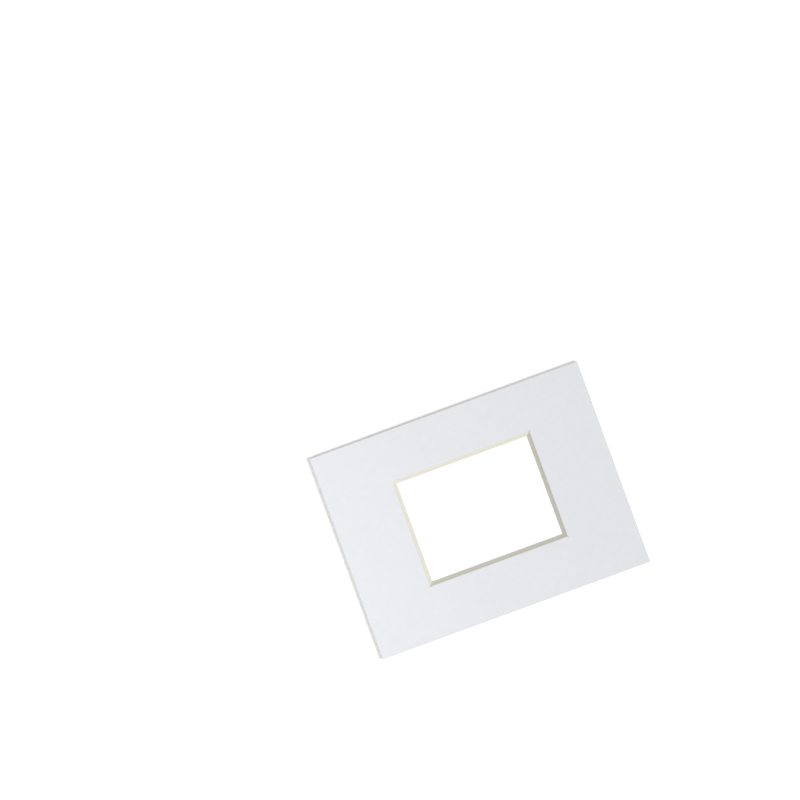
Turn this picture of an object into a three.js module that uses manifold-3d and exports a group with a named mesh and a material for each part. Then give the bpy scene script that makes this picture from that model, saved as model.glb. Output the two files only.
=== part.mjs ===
// A picture mount: one sheet of thick white mount board with a landscape window.
// The window is cut with a slanting blade, so its edges are bevels that meet in mitres.
//
// Sizes are in millimetres. The mount lies on its back, face up. The origin is the middle
// of the back, +X runs along the long side, +Y runs to the top edge as the mount hangs,
// and +Z comes out of the face.

import * as THREE from "three";
import { mergeVertices } from "three/addons/utils/BufferGeometryUtils.js";
import Module from "manifold-3d";

// The board, cut to fit a frame
const BOARD_WIDTH = 203.2;
const BOARD_HEIGHT = 152.4;
const BOARD_THICKNESS = 3.1;

// The picture behind the window, and how far each border laps over it to hold it
const PICTURE_WIDTH = 101.6;
const PICTURE_HEIGHT = 76.2;
const LAP_AT_SIDES = 1.4;
const LAP_AT_TOP_AND_BOTTOM = 1.0;

// How much wider the bottom border is than the top one, so that the window looks centred
const BOTTOM_WEIGHTING = 2.4;

// The blade's slope, measured from the board's face
const BEVEL_ANGLE_DEG = 45;

// How far the cutting shape passes each face of the board
const CUT_PAST_FACE = 1;

const BOARD_COLOUR = 0xe8e9ed;
const BOARD_ROUGHNESS = 0.9;

// The window's opening at the back of the board, and its middle
const WINDOW_WIDTH = PICTURE_WIDTH - 2 * LAP_AT_SIDES;
const WINDOW_HEIGHT = PICTURE_HEIGHT - 2 * LAP_AT_TOP_AND_BOTTOM;
const WINDOW_MIDDLE_Y = BOTTOM_WEIGHTING / 2;

// How far a sloping cut moves outwards for each millimetre that it climbs
const BEVEL_SPREAD = 1 / Math.tan(THREE.MathUtils.degToRad(BEVEL_ANGLE_DEG));

const wasm = await Module();
wasm.setup();

// A closed geometry as a solid that can be cut: its faces share their corners.
function solidOf(geometry) {
  const corners = geometry.clone();
  corners.deleteAttribute("normal");
  corners.deleteAttribute("uv");
  const merged = mergeVertices(corners);
  const vertProperties = merged.getAttribute("position").array;
  const triVerts = new Uint32Array(merged.index.array);
  return new wasm.Manifold(new wasm.Mesh({ numProp: 3, vertProperties, triVerts }));
}

function geometryOf(solid) {
  const { vertProperties, triVerts } = solid.getMesh();
  const geometry = new THREE.BufferGeometry();
  geometry.setAttribute("position", new THREE.BufferAttribute(vertProperties, 3));
  geometry.setIndex(new THREE.BufferAttribute(triVerts, 1));
  geometry.computeVertexNormals();
  return geometry;
}

// The blank sheet before the window is cut, with its back at z = 0.
function blankBoard() {
  const sheet = new THREE.BoxGeometry(BOARD_WIDTH, BOARD_HEIGHT, BOARD_THICKNESS);
  sheet.translate(0, 0, BOARD_THICKNESS / 2);
  return sheet;
}

// The piece that falls out of the window: its four sides lean outwards towards the face.
// It carries on past both faces along the same slope, so the cut is clean right through.
function windowCutOut() {
  const depth = BOARD_THICKNESS + 2 * CUT_PAST_FACE;
  const widthAt = (z) => WINDOW_WIDTH + 2 * z * BEVEL_SPREAD;
  const heightAt = (z) => WINDOW_HEIGHT + 2 * z * BEVEL_SPREAD;
  const cutOut = new THREE.BoxGeometry(1, 1, depth);
  cutOut.translate(0, 0, BOARD_THICKNESS / 2);
  const corners = cutOut.getAttribute("position");
  for (let i = 0; i < corners.count; i++) {
    const z = corners.getZ(i);
    corners.setXY(i, corners.getX(i) * widthAt(z), corners.getY(i) * heightAt(z));
  }
  cutOut.translate(0, WINDOW_MIDDLE_Y, 0);
  return cutOut;
}

function makeMountBoard() {
  const cut = solidOf(blankBoard()).subtract(solidOf(windowCutOut()));
  const material = new THREE.MeshStandardMaterial({
    color: BOARD_COLOUR,
    roughness: BOARD_ROUGHNESS,
    metalness: 0,
    flatShading: true,
  });
  const board = new THREE.Mesh(geometryOf(cut), material);
  board.name = "mount_board";
  return board;
}

const group = new THREE.Group();
group.add(makeMountBoard());

export default group;
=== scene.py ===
# %% [markdown]
# # A picture mount
# A picture mount is the bevel-cut card that lies between a picture and the glass in front of it.
# This lesson dresses a plain, full-size model of one: a thick white board with a landscape window.
# First that model is loaded. It is the fixed frame of the scene: nothing in it moves, and every
# new piece takes its sizes and its place from it. Blender counts in metres, so a length of one
# millimetre gets a name, and all small sizes are written with it.

# %% Load the frame
import math

import bmesh
import bpy
from mathutils import Matrix, Vector


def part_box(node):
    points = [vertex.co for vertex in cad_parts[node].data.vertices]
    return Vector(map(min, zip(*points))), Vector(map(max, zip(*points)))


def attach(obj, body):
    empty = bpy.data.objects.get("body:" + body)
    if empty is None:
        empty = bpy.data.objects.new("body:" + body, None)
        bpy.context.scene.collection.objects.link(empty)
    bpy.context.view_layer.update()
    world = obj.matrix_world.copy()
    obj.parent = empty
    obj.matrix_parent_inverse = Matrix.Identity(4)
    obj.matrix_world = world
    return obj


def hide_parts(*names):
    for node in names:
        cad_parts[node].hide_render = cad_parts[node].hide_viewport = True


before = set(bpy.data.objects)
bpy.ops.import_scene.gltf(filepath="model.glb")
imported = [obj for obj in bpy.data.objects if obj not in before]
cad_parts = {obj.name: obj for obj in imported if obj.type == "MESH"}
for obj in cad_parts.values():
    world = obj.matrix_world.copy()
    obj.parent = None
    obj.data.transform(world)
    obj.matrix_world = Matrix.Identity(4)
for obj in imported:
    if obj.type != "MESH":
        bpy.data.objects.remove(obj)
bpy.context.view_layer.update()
MM = 0.001

# %% [markdown]
# ## Read the sizes from the frame
# The board's outside is the box of its node. The window has to be read from the corners of the
# mesh: on each face of the board, the corners that don't lie on the outside belong to the window.
# It is wider at the face than at the back, because the blade that cuts it leans over. The same
# numbers could be typed in, but then the scene would no longer fit a model whose size changes.

# %% Measure the board
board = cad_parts["mount_board"]
low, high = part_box("mount_board")
THICKNESS = high.z - low.z
print("board in mm:", [round(c / MM, 2) for c in high - low])

# %% Measure the window
CLOSE = 0.01 * MM


def window_corners(z):
    """The lowest and highest corner of the window at one face of the board."""
    inside = [
        v.co
        for v in board.data.vertices
        if abs(v.co.z - z) < CLOSE and abs(v.co.x) < high.x - CLOSE and abs(v.co.y) < high.y - CLOSE
    ]
    xs = [co.x for co in inside]
    ys = [co.y for co in inside]
    return Vector((min(xs), min(ys), z)), Vector((max(xs), max(ys), z))


back_low, back_high = window_corners(low.z)
face_low, face_high = window_corners(high.z)
WINDOW_MIDDLE = (back_low.y + back_high.y) / 2
BACK_OPENING = back_high - back_low
FACE_OPENING = face_high - face_low
BEVEL_SPREAD = (FACE_OPENING.x - BACK_OPENING.x) / 2 / THICKNESS
print("window at the face in mm:", [round(c / MM, 2) for c in FACE_OPENING])
print("bevel: outwards by", round(BEVEL_SPREAD, 3), "mm for each mm that it climbs")

# %% [markdown]
# ## The section of the board
# Mount board is paper pasted up in layers: a white facing paper, a thick cream core and a thin
# backing paper. A guillotine trims the outside, and its blade turns the facing paper down a
# little at the edge. The soft core springs back a hair behind the two papers. The window is cut
# with a thin blade, so its arris stays sharp. These steps of a few hundredths of a millimetre
# could be painted on, but as real steps each of them catches the light in its own way.
#
# The whole board is one section swept round a rectangle, so the section is written as a list of
# rings. Each ring is a rectangle: its width, its height, the place of its middle and its level.

# %% Rings on the window and on the outside
FACING_PAPER = 0.18 * MM
BACKING_PAPER = 0.20 * MM
facing_level = high.z - FACING_PAPER
backing_level = low.z + BACKING_PAPER


def window_ring(z, recess=0.0):
    """A ring on the sloping cut of the window, which may lie a little back from it."""
    grow = 2 * (BEVEL_SPREAD * (z - low.z) + recess)
    return (BACK_OPENING.x + grow, BACK_OPENING.y + grow, WINDOW_MIDDLE, z)


def outline_ring(z, inset=0.0):
    """A ring that follows the outside of the board, a little way in from it."""
    return (high.x - low.x - 2 * inset, high.y - low.y - 2 * inset, 0.0, z)


print("core in mm:", round((facing_level - backing_level) / MM, 2))

# %% List the rings of the section
CORE_RECESS = 0.03 * MM
TURNED_EDGE = 0.40 * MM
TURNED_DROP = 0.10 * MM
TURNED_STEPS = 4
BACK_ARRIS = 0.06 * MM

section = [
    window_ring(low.z),
    window_ring(backing_level),
    window_ring(backing_level + CORE_RECESS, CORE_RECESS),
    window_ring(facing_level - CORE_RECESS, CORE_RECESS),
    window_ring(facing_level),
    window_ring(high.z),
]
for step in range(TURNED_STEPS + 1):
    turn = math.radians(90 * step / TURNED_STEPS)
    inset = TURNED_EDGE * (1 - math.sin(turn))
    drop = TURNED_DROP * (1 - math.cos(turn))
    section.append(outline_ring(high.z - drop, inset))
section += [
    outline_ring(facing_level),
    outline_ring(facing_level - CORE_RECESS, CORE_RECESS),
    outline_ring(backing_level + CORE_RECESS, CORE_RECESS),
    outline_ring(backing_level),
    outline_ring(low.z + BACK_ARRIS),
    outline_ring(low.z, BACK_ARRIS),
]
print("rings in the section:", len(section))

# %% [markdown]
# ## Sweep the section
# A slab with a wedge cut out of it would give the bevel, but each small step would then need a
# cut of its own. Extruding makes them all in one go. It starts from a plane with the size of the
# opening at the back. Only its border is wanted, so the face is deleted and the four edges are
# kept. Extruding them, then resizing and moving the new edges to the next ring, makes one band
# of the board at a time, just as it would be done by hand. Four edges give clean mitres at all
# corners. The last band is the back of the board: it returns to the first ring, and merging the
# doubled corners closes the solid.

# %% Start from the border of the opening
start_width, start_height, start_middle, start_level = section[0]

bpy.ops.object.select_all(action="DESELECT")
bpy.ops.mesh.primitive_plane_add(size=1, location=(0, start_middle, start_level))
sheet = bpy.context.object
sheet.name = "mount_sheet"
sheet.data.name = "mount_sheet"
sheet.scale = (start_width, start_height, 1)
bpy.ops.object.transform_apply(location=True, rotation=True, scale=True)
bpy.ops.object.mode_set(mode="EDIT")
bpy.ops.mesh.select_mode(type="EDGE")
bpy.ops.mesh.select_all(action="SELECT")
bpy.ops.mesh.delete(type="ONLY_FACE")
print("border edges:", len(bmesh.from_edit_mesh(sheet.data).edges))

# %% Extrude the board ring by ring
WELD = 0.001 * MM


def extrude_to(ring, last):
    """Extrudes the selected border and places the new edges on the next ring."""
    width, height, middle, level = ring
    last_width, last_height, last_middle, last_level = last
    bpy.ops.mesh.extrude_edges_indiv()
    bpy.ops.transform.resize(
        value=(width / last_width, height / last_height, 1),
        center_override=(0, last_middle, last_level),
    )
    bpy.ops.transform.translate(value=(0, middle - last_middle, level - last_level))


bpy.ops.mesh.select_all(action="SELECT")
for last, ring in zip(section, section[1:] + section[:1]):
    extrude_to(ring, last)
bpy.ops.mesh.select_all(action="SELECT")
bpy.ops.mesh.remove_doubles(threshold=WELD)
bpy.ops.mesh.normals_make_consistent(inside=False)
bpy.ops.object.mode_set(mode="OBJECT")
print("bands:", len(sheet.data.polygons) // 4, "corners:", len(sheet.data.vertices))

# %% [markdown]
# ## Number the corners and faces
# Extruding doesn't number the new corners, edges and faces alike on each run, so the same board
# would come out in another order each time. Sorting numbers them afresh, by how far each lies
# from the 3D cursor. Sorting along one axis would leave ties, because the board is symmetrical,
# so the cursor goes to a place near one corner from which no two of them are equally far.

# %% Sort them from the cursor
SORT_FROM = (110 * MM, 70 * MM, 20 * MM)

bpy.context.scene.cursor.location = SORT_FROM
bpy.ops.object.mode_set(mode="EDIT")
bpy.ops.mesh.select_all(action="SELECT")
bpy.ops.mesh.sort_elements(type="CURSOR_DISTANCE", elements={"VERT", "EDGE", "FACE"})
bpy.ops.object.mode_set(mode="OBJECT")
nearest = sheet.data.vertices[0].co
print("first corner in mm:", [round(c / MM, 2) for c in nearest])

# %% [markdown]
# ## Nicks at the corners of the window
# Each of the window's four cuts has to reach the full depth of the corner, so the blade runs a
# hair past it and leaves a fine nick in the facing paper that points along the cut. They show as
# tiny dark tips. Painted dots would look flat close up, so the nicks are cut into the board.
#
# A nick is a V that is deepest at the corner and fades out, leaning over just as the bevel does.
# A square cone has this form once it is flattened like a blade, laid along the cut and leaned
# over by the bevel's angle. Two cuts meet at a corner, so a copy is flipped over the corner's
# diagonal, and a Mirror modifier then brings the pair to all four corners.

# %% Shape one blade tip
NICK_LENGTH = 0.8 * MM
NICK_WIDTH = 0.3 * MM
NICK_DEPTH = 1.0 * MM
NICK_START = 0.5 * MM

bpy.ops.object.select_all(action="DESELECT")
bpy.ops.mesh.primitive_cone_add(vertices=4, radius1=1, radius2=0, depth=1, end_fill_type="NGON")
tips = bpy.context.object
tips.name = "blade_tips"
tips.scale = (NICK_DEPTH, NICK_WIDTH / 2, NICK_START + NICK_LENGTH)
tips.location = ((NICK_LENGTH - NICK_START) / 2, 0, 0)
tips.rotation_mode = "YXZ"
tips.rotation_euler = (-math.atan(BEVEL_SPREAD), math.radians(90), 0)
bpy.ops.object.transform_apply(location=True, rotation=True, scale=True)
print("blade tip in mm:", [round(side / MM, 2) for side in tips.dimensions])

# %% Pair the tips at one corner
SWAP_X_AND_Y = Matrix(((0, 1, 0, 0), (1, 0, 0, 0), (0, 0, 1, 0), (0, 0, 0, 1)))

bpy.ops.object.duplicate()
bpy.context.object.data.transform(SWAP_X_AND_Y)
tips.select_set(True)
bpy.context.view_layer.objects.active = tips
bpy.ops.object.join()
tips.data.transform(Matrix.Translation((FACE_OPENING.x / 2, FACE_OPENING.y / 2, high.z)))
print("corners of a pair of blade tips:", len(tips.data.vertices))

# %% Mirror the pair to all four corners
tips.location.y = WINDOW_MIDDLE
mirror = tips.modifiers.new("four corners", "MIRROR")
mirror.use_axis = (True, True, False)
bpy.ops.object.modifier_apply(modifier=mirror.name)
bpy.ops.object.mode_set(mode="EDIT")
bpy.ops.mesh.select_all(action="SELECT")
bpy.ops.mesh.normals_make_consistent(inside=False)
bpy.ops.object.mode_set(mode="OBJECT")
print("corners of all the blade tips:", len(tips.data.vertices))

# %% [markdown]
# ## Cut the nicks
# A Boolean modifier takes the tips out of the board. Knife cuts would do it by hand, but each
# nick has two sloping walls, and the modifier finds where they meet the paper and the core. The
# two tips of a pair overlap, so it is told to allow for that. It leaves a few edges that are too
# short to see and would spoil the shading, so they are merged and dissolved.

# %% Cut the nicks into the board
SPECK = 0.0005 * MM

bpy.ops.object.select_all(action="DESELECT")
sheet.select_set(True)
bpy.context.view_layer.objects.active = sheet
nicks = sheet.modifiers.new("nicks", "BOOLEAN")
nicks.operation = "DIFFERENCE"
nicks.solver = "EXACT"
nicks.use_self = True
nicks.object = tips
bpy.ops.object.modifier_apply(modifier=nicks.name)
bpy.data.objects.remove(tips)
bpy.ops.object.mode_set(mode="EDIT")
bpy.ops.mesh.select_all(action="SELECT")
bpy.ops.mesh.remove_doubles(threshold=SPECK)
bpy.ops.mesh.dissolve_degenerate(threshold=SPECK)
bpy.ops.object.mode_set(mode="OBJECT")
print("faces after the nicks:", len(sheet.data.polygons))

# %% [markdown]
# ## Tools for the finishes
# Paper and board have no print and no shine: what the eye reads as card is a fine tooth in the
# surface and a slight unevenness of tone. A photograph of paper laid over the piece would blur
# close up and repeat. Noise does neither, and in Object coordinates it stays put on the piece at
# its real size, in metres. A few helpers keep the node trees short to write: the first adds a
# node with its values and links, the second starts a material, and the others make noise of a
# given grain and turn it into tone.

# %% Helpers for node trees


def add_node(tree, kind, inputs=None, **options):
    """Adds a shader node, sets its options, and gives each named input a value or a link."""
    made = tree.nodes.new("ShaderNode" + kind)
    for option, value in options.items():
        setattr(made, option, value)
    for name, value in (inputs or {}).items():
        if isinstance(value, bpy.types.NodeSocket):
            tree.links.new(value, made.inputs[name])
        else:
            made.inputs[name].default_value = value
    return made


def start_material(name):
    """An empty material and its tree."""
    material = bpy.data.materials.new(name)
    material.use_nodes = True
    material.node_tree.nodes.clear()
    return material, material.node_tree


print("helpers: add_node, start_material")

# %% Noise


def noise(tree, place, grain, detail=2.0, roughness=0.5):
    """Noise whose blots are about as big as the grain, in metres."""
    inputs = {"Vector": place, "Scale": 1 / grain, "Detail": detail, "Roughness": roughness}
    return add_node(tree, "TexNoise", inputs).outputs["Fac"]


def average(tree, first, second):
    """The mean of two noises."""
    both = add_node(tree, "Math", {0: first, 1: second}, operation="ADD").outputs[0]
    return add_node(tree, "Math", {0: both, 1: 0.5}, operation="MULTIPLY").outputs[0]


print("helpers: noise, average")

# %% Tone
TONE_FROM, TONE_TO = 0.35, 0.65


def blend(tree, factor, first, second):
    """A colour on the way from the first to the second; each is a colour or a link."""
    inputs = {"Factor": factor, "A": first, "B": second}
    return add_node(tree, "Mix", inputs, data_type="RGBA").outputs["Result"]


def tone(tree, factor, dark, light):
    """A colour between two, by a noise whose crowded middle range is spread out first."""
    limits = {"Value": factor, "From Min": TONE_FROM, "From Max": TONE_TO}
    spread = add_node(tree, "MapRange", limits).outputs["Result"]
    return blend(tree, spread, dark, light)


print("helpers: blend, tone")

# %% [markdown]
# ## Fibres
# Paper shows a few fibres pressed into it, each a short thin line, lying any way. Noise that is
# stretched long and thin has such lines at its peaks, and cutting off all but the peaks leaves
# them alone. One stretched noise gives lines that all lie the same way, so three of them are
# turned differently and the strongest is taken at each point.
#
# The Mapping node is set to its Texture kind, which stretches the pattern first and turns it
# after. The Point kind would turn it first, and then all the lines would lie along one axis.

# %% Stretched noise and fibres
FIBRE_LONG = 1.3 * MM
FIBRE_THIN = 0.08 * MM
FIBRE_TURNS = (18, -43, 79)
FIBRE_FROM, FIBRE_TO = 0.71, 0.80


def stretched(tree, place, sizes, turn=0.0):
    """Coordinates for noise that has its own size along each axis, then turned about Z."""
    inputs = {"Vector": place, "Scale": sizes, "Rotation": (0, 0, turn)}
    return add_node(tree, "Mapping", inputs, vector_type="TEXTURE").outputs["Vector"]


def fibres(tree, place):
    """Sparse short lines that lie in several directions, as fibres do in paper."""
    strongest = 0.0
    for turn in FIBRE_TURNS:
        lie = stretched(tree, place, (FIBRE_LONG, FIBRE_THIN, FIBRE_THIN), math.radians(turn))
        field = noise(tree, lie, 1.0, detail=0.0)
        limits = {"Value": field, "From Min": FIBRE_FROM, "From Max": FIBRE_TO}
        line = add_node(tree, "MapRange", limits).outputs["Result"]
        strongest = add_node(tree, "Math", {0: strongest, 1: line}, operation="MAXIMUM").outputs[0]
    return strongest


print("fibre in mm:", round(FIBRE_LONG / MM, 2), "by", round(FIBRE_THIN / MM, 2))

# %% [markdown]
# ## Paper
# Close up, paper has a fine tooth of less than half a millimetre, soft clouds where the pulp lies
# thicker, and its fibres. From a step away all that melts into an even tone that never looks like
# plastic. The mount has two papers, front and back, so the recipe is a function, and each paper
# gives it its own colours and depth of tooth. Clouds and tooth drive the tone and the bump
# together, so the paper is darker where it lies lower: partly its own uneven tone and partly
# painted shade in the hollows.

# %% Bump


def bump(tree, height, depth, **inputs):
    """A normal that is bent by a height field of the given depth, in metres."""
    inputs.update({"Height": height, "Strength": 1.0, "Distance": depth})
    return add_node(tree, "Bump", inputs).outputs["Normal"]


print("helper: bump")

# %% Paper recipe
TOOTH = 0.32 * MM
CLOUD = 5.0 * MM
PAPER_ROUGHNESS = (0.82, 0.94)
PAPER_SHINE = 0.3
PAPER_ROLL = 0.012 * MM


def paper_material(name, light, shade, fibre_shade, tooth_depth):
    """Paper with clouds, tooth and fibres."""
    material, tree = start_material(name)
    place = add_node(tree, "TexCoord").outputs["Object"]
    clouds = noise(tree, place, CLOUD)
    tooth = noise(tree, place, TOOTH, detail=4.0, roughness=0.6)
    # Darker where clouds and tooth lie low: the paper's uneven tone plus painted shade in its
    # hollows.
    paper = tone(tree, average(tree, clouds, tooth), shade, light)
    smoothest, roughest = PAPER_ROUGHNESS
    limits = {"Value": tooth, "To Min": smoothest, "To Max": roughest}
    skin = add_node(tree, "BsdfPrincipled", {
        "Base Color": blend(tree, fibres(tree, place), paper, fibre_shade),
        "Roughness": add_node(tree, "MapRange", limits).outputs["Result"],
        "Specular IOR Level": PAPER_SHINE,
        "Normal": bump(tree, tooth, tooth_depth, Normal=bump(tree, clouds, PAPER_ROLL)),
    })
    add_node(tree, "OutputMaterial", {"Surface": skin.outputs[0]})
    return material


print("paper tooth in mm:", round(TOOTH / MM, 2))

# %% [markdown]
# ## Facing paper
# The face of the mount is a matt, slightly cool white paper. Its light and its dark tone lie only
# a few hundredths apart: more would make it look like felt. Neither is pure white, which no paper
# is, so the face keeps a little room for the light to play.

# %% Facing paper finish
FACING_WHITE = (0.822, 0.831, 0.863, 1)
FACING_SHADE = (0.799, 0.808, 0.841, 1)
FACING_FIBRE = (0.755, 0.763, 0.792, 1)
FACING_TOOTH = 0.015 * MM

facing = paper_material("facing_paper", FACING_WHITE, FACING_SHADE, FACING_FIBRE, FACING_TOOTH)
print("facing paper tooth depth in mm:", round(FACING_TOOTH / MM, 3))

# %% [markdown]
# ## Core board
# The cut shows the core: a soft cream pulp board. It is pressed from thin plies, so faint lines
# run along every cut, and a slightly darker one lies at half the thickness, where two boards are
# pasted together to make the thick one. The blade drags at the fibres and leaves fine marks along
# its path. A separate pattern could be laid along each of the eight cut faces, but all these
# marks lie level, so one noise that is very thin upwards and long sideways makes them on the
# bevels and on the trimmed outside alike.

# %% Tone of the core
CORE_CREAM = (0.775, 0.762, 0.672, 1)
CORE_SHADE = (0.722, 0.708, 0.612, 1)
PASTE_SHADE = (0.640, 0.620, 0.520, 1)
PASTE_LINE = 0.05 * MM


def paste_line(tree, place):
    """1 on a thin band at half the thickness of the board, fading to 0 beside it."""
    height = add_node(tree, "SeparateXYZ", {"Vector": place}).outputs["Z"]
    middle = (low.z + high.z) / 2
    above = add_node(tree, "Math", {0: height, 1: middle}, operation="SUBTRACT").outputs[0]
    distance = add_node(tree, "Math", {0: above}, operation="ABSOLUTE").outputs[0]
    limits = {"From Min": PASTE_LINE / 2, "From Max": PASTE_LINE, "To Min": 1.0, "To Max": 0.0}
    return add_node(tree, "MapRange", {"Value": distance, **limits}).outputs["Result"]


def core_tone(tree, place, plies, pulp):
    """Cream board with level plies and a paste line that is broken up by them."""
    # The ply and pulp noises also set the bump, so the board is darker where it lies lower: partly
    # its own tone, partly painted shade in the hollows.
    cream = tone(tree, average(tree, plies, pulp), CORE_SHADE, CORE_CREAM)
    broken = add_node(tree, "Math", {0: paste_line(tree, place), 1: plies}, operation="MULTIPLY")
    return blend(tree, broken.outputs[0], cream, PASTE_SHADE)


print("paste line in mm:", round(PASTE_LINE / MM, 2))

# %% Core board finish
PLY = 0.14 * MM
PLY_LONG = 9.0 * MM
PULP = 0.22 * MM
DRAG_DEPTH = 0.020 * MM
PULP_DEPTH = 0.025 * MM
CORE_ROUGHNESS = 0.95
CORE_SHINE = 0.2

core, tree = start_material("core_board")
place = add_node(tree, "TexCoord").outputs["Object"]
plies = noise(tree, stretched(tree, place, (PLY_LONG, PLY_LONG, PLY)), 1.0)
pulp = noise(tree, place, PULP, detail=3.0, roughness=0.6)
body = add_node(tree, "BsdfPrincipled", {
    "Base Color": core_tone(tree, place, plies, pulp),
    "Roughness": CORE_ROUGHNESS,
    "Specular IOR Level": CORE_SHINE,
    "Normal": bump(tree, pulp, PULP_DEPTH, Normal=bump(tree, plies, DRAG_DEPTH)),
})
add_node(tree, "OutputMaterial", {"Surface": body.outputs[0]})
print("plies in the core, about:", round((facing_level - backing_level) / PLY))

# %% [markdown]
# ## Backing paper
# The back is lined with a plainer paper, so that the board doesn't curl. It is a little duller
# and warmer than the face, with a coarser tooth and fibres that show more, and the same recipe
# makes it.

# %% Backing paper finish
BACKING_WHITE = (0.775, 0.772, 0.750, 1)
BACKING_SHADE = (0.735, 0.731, 0.705, 1)
BACKING_FIBRE = (0.680, 0.670, 0.630, 1)
BACKING_TOOTH = 0.028 * MM

backing = paper_material(
    "backing_paper", BACKING_WHITE, BACKING_SHADE, BACKING_FIBRE, BACKING_TOOTH
)
print("backing paper tooth depth in mm:", round(BACKING_TOOTH / MM, 3))

# %% [markdown]
# ## Put the finishes on the sheet
# Which finish a face gets follows from its level: what lies above the facing paper's underside is
# facing paper, what lies below the backing paper's top is backing paper, and the rest is core.
# Picking the faces by hand would do as well, but the rule still holds when the sizes change.
# Smoothing by angle rounds the turned edge and keeps every cut crisp.

# %% Assign the finishes
SMOOTH_BELOW = math.radians(30)

for material in (facing, core, backing):
    sheet.data.materials.append(material)
FACING_SLOT, CORE_SLOT, BACKING_SLOT = range(3)
counts = [0, 0, 0]
for face in sheet.data.polygons:
    levels = [sheet.data.vertices[i].co.z for i in face.vertices]
    if min(levels) > facing_level - CLOSE:
        face.material_index = FACING_SLOT
    elif max(levels) < backing_level + CLOSE:
        face.material_index = BACKING_SLOT
    else:
        face.material_index = CORE_SLOT
    counts[face.material_index] += 1
bpy.ops.object.select_all(action="DESELECT")
sheet.select_set(True)
bpy.context.view_layer.objects.active = sheet
bpy.ops.object.shade_smooth_by_angle(angle=SMOOTH_BELOW)
print("faces of facing paper, core and backing paper:", counts)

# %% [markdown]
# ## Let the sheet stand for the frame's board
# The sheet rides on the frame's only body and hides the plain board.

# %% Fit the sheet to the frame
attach(sheet, "root")
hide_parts("mount_board")

# %% [markdown]
# ## Camera
# The photograph looks straight down on the mount and shows no perspective: like sides are equally
# long. So the camera hangs high above it with a long lens. An orthographic camera would do too,
# but a real lens keeps working when the view is moved. The camera is turned and moved sideways,
# because the mount never moves: it stays square in its frame, and the camera does the turning.
# The scale follows from the length of the long side in pixels.

# %% Place the camera
IMAGE_SIDE_PX = 800
LONG_SIDE_PX = 284.7
MIDDLE_PX = Vector((480.1, 510.4))
TURN = math.radians(20.1)
CAMERA_HEIGHT = 3.0

metres_per_px = (high.x - low.x) / LONG_SIDE_PX
image_right = Vector((math.cos(TURN), -math.sin(TURN), 0))
image_up = Vector((math.sin(TURN), math.cos(TURN), 0))
offset = (MIDDLE_PX - Vector((IMAGE_SIDE_PX / 2, IMAGE_SIDE_PX / 2))) * metres_per_px

camera = bpy.data.objects.new("camera", bpy.data.cameras.new("camera"))
bpy.context.scene.collection.objects.link(camera)
above_middle = Vector((0, 0, high.z + CAMERA_HEIGHT))
camera.location = image_up * offset.y - image_right * offset.x + above_middle
camera.rotation_euler = (0, 0, -TURN)
camera.data.lens = camera.data.sensor_width * CAMERA_HEIGHT / (IMAGE_SIDE_PX * metres_per_px)
bpy.context.scene.camera = camera
print("lens in mm:", round(camera.data.lens, 1), "place:", [round(c, 4) for c in camera.location])

# %% [markdown]
# ## Lamps
# The bevels tell where the light is: those at the left and the top, which face right and down,
# are bright, and the other two lie in shade. So the main lamp stands to the lower right. A sun
# lamp with a wide disc gives the even light and soft shadow edges of a big studio lamp. The world
# fills the shade, and a tall weak lamp close to the left makes the face a little brighter there.
# The strengths add up to 1 on the middle of the face, so that a colour renders as it is written.

# %% Share out the light
KEY_SHARE = 0.49
SIDE_SHARE = 0.16
FILL_SHARE = 1 - KEY_SHARE - SIDE_SHARE


def add_lamp(name, kind, place):
    """A lamp at a place, turned towards the middle of the board."""
    lamp = bpy.data.objects.new(name, bpy.data.lights.new(name, kind))
    bpy.context.scene.collection.objects.link(lamp)
    lamp.location = place
    lamp.rotation_euler = (-place).to_track_quat("-Z", "Y").to_euler()
    return lamp


print("shares of the key, the side lamp and the fill:", KEY_SHARE, SIDE_SHARE, round(FILL_SHARE, 3))

# %% Hang the main lamp
KEY_ELEVATION = math.radians(47)
KEY_SIDEWAYS = Vector((0.84, -0.54, 0))
KEY_DISC = math.radians(20)
KEY_DISTANCE = 2.0

key_direction = KEY_SIDEWAYS.normalized() * math.cos(KEY_ELEVATION)
key_direction.z = math.sin(KEY_ELEVATION)
key = add_lamp("key_lamp", "SUN", key_direction * KEY_DISTANCE)
key.data.angle = KEY_DISC
key.data.energy = math.pi * KEY_SHARE / key_direction.z
print("main lamp's strength:", round(key.data.energy, 3))

# %% Stand the side lamp
SIDE_PLACE = Vector((-0.40, 0.0, 0.35))
SIDE_WIDTH = 0.10
SIDE_LENGTH = 0.45

side = add_lamp("side_lamp", "AREA", SIDE_PLACE)
side.data.shape = "RECTANGLE"
side.data.size = SIDE_LENGTH
side.data.size_y = SIDE_WIDTH
slant = SIDE_PLACE.z / SIDE_PLACE.length
side.data.energy = SIDE_SHARE * math.pi ** 2 * SIDE_PLACE.length ** 2 / slant
print("side lamp's power:", round(side.data.energy, 3))

# %% [markdown]
# ## World
# The world is the fill light from all sides. As light it has only the fill's share, but where the
# camera looks past the floor it should be white. A Light Path node tells the two uses apart, so
# the background can be white without any more light on the mount.

# %% Set up the world


def seen_or_mirrored(tree):
    """1 for what the camera sees, straight or in a mirror or glass, and 0 for light on its way."""
    path = add_node(tree, "LightPath").outputs
    indirect = {0: path["Is Glossy Ray"], 1: path["Is Transmission Ray"]}
    mirrored = add_node(tree, "Math", indirect, operation="MAXIMUM").outputs[0]
    seen = {0: path["Is Camera Ray"], 1: mirrored}
    return add_node(tree, "Math", seen, operation="MAXIMUM").outputs[0]


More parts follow.
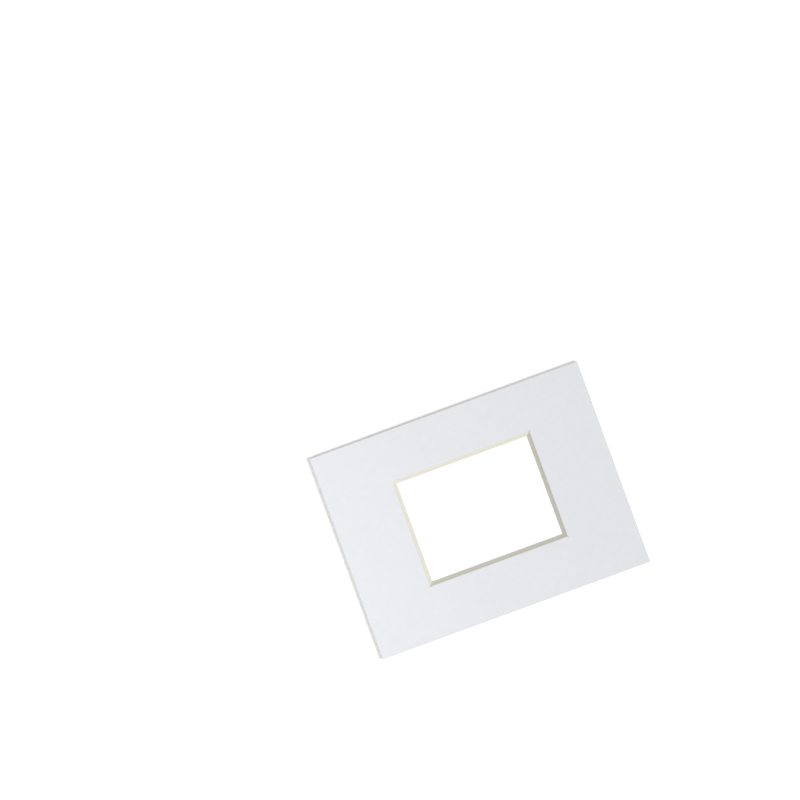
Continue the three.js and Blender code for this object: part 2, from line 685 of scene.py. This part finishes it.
world = bpy.data.worlds.new("studio")
bpy.context.scene.world = world
world.use_nodes = True
sky = world.node_tree
sky.nodes.clear()
strength = add_node(sky, "Math", {0: seen_or_mirrored(sky), 1: FILL_SHARE}, operation="MAXIMUM")
air = add_node(sky, "Background", {"Color": (1, 1, 1, 1), "Strength": strength.outputs[0]})
add_node(sky, "OutputWorld", {"Surface": air.outputs[0]})
bpy.context.scene.view_settings.view_transform = "Standard"
print("fill:", round(FILL_SHARE, 3))

# %% [markdown]
# ## Floor
# The ground of the photograph is pure white. A floor of white paint would never be lit evenly
# enough for that, and more light would bleach the mount. So the floor is a pale matt paint that
# takes the mount's shadow, and the camera alone sees a little glow added to it, just enough to
# lift the lit floor to white. The side lamp lights one spot of the floor the most, a little in
# front of its foot, so the glow is weakest there and grows away from it, as that light fades.

# %% Paint for the floor
FLOOR_PAINT = 0.86
BRIGHT_SPOT = (-0.25, 0.0, low.z)
WEAK_GLOW, WEAK_WITHIN = 0.18, 0.22
FULL_GLOW, FULL_BEYOND = 0.32, 0.48

paint, tree = start_material("floor_paint")
matt = add_node(tree, "BsdfDiffuse", {"Color": (FLOOR_PAINT, FLOOR_PAINT, FLOOR_PAINT, 1)})
spot = add_node(tree, "TexCoord").outputs["Object"]
from_spot = add_node(tree, "VectorMath", {0: spot, 1: BRIGHT_SPOT}, operation="DISTANCE")
needed = add_node(tree, "MapRange", {
    "Value": from_spot.outputs["Value"],
    "From Min": WEAK_WITHIN, "From Max": FULL_BEYOND, "To Min": WEAK_GLOW, "To Max": FULL_GLOW,
})
seen = seen_or_mirrored(tree)
lift = add_node(tree, "Math", {0: seen, 1: needed.outputs["Result"]}, operation="MULTIPLY")
glow = add_node(tree, "Emission", {"Strength": lift.outputs[0]})
both = add_node(tree, "AddShader", {0: matt.outputs[0], 1: glow.outputs[0]})
add_node(tree, "OutputMaterial", {"Surface": both.outputs[0]})
print("glow from", WEAK_GLOW, "to", FULL_GLOW)

# %% Lay the floor
FLOOR_SIDE = 12.0

bpy.ops.object.select_all(action="DESELECT")
bpy.ops.mesh.primitive_plane_add(size=FLOOR_SIDE, location=(0, 0, low.z))
floor = bpy.context.object
floor.name = "floor"
floor.data.materials.append(paint)
print("floor side in m:", FLOOR_SIDE)
